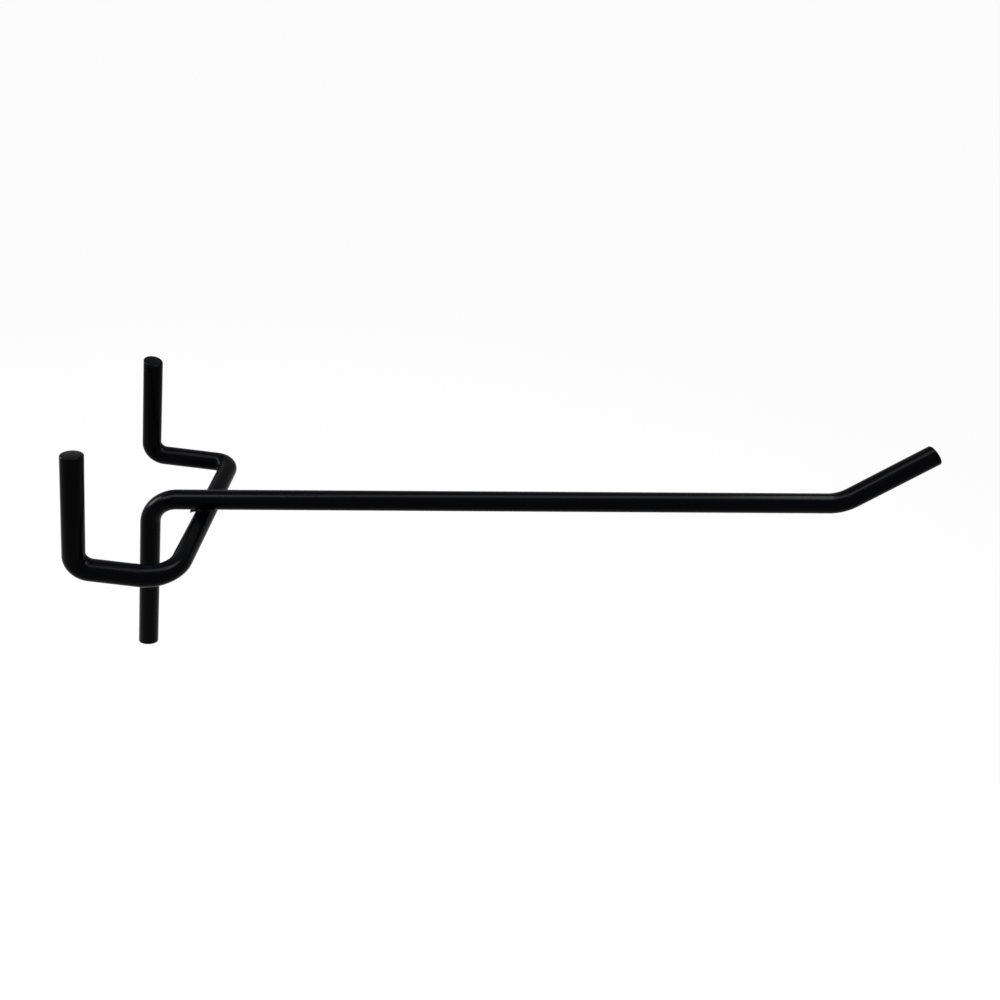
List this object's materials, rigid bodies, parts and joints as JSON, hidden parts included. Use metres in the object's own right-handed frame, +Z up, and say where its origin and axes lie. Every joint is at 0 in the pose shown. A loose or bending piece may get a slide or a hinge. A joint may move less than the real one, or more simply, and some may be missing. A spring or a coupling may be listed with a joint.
{
  "type": "display hook",
  "caption": "Black wire display hook: upturned prongs hook into a perforated panel, and a long rising arm with a raised tip carries hanging goods.",
  "frame": {"origin": "on the panel's front face, midway between the two prongs, at the height of the legs that pass through the panel", "axes": "+X out of the panel along the arm, +Y across the panel to the right as seen from the front, +Z up along the prongs"},
  "size_m": [0.2063, 0.0558, 0.0886],
  "materials": {
    "black_enamel": "satin black enamel over drawn steel wire"
  },
  "bodies": {
    "root": {"mounting_wire": "black_enamel", "arm_wire": "black_enamel", "weld": "black_enamel"}
  },
  "joints": []
}
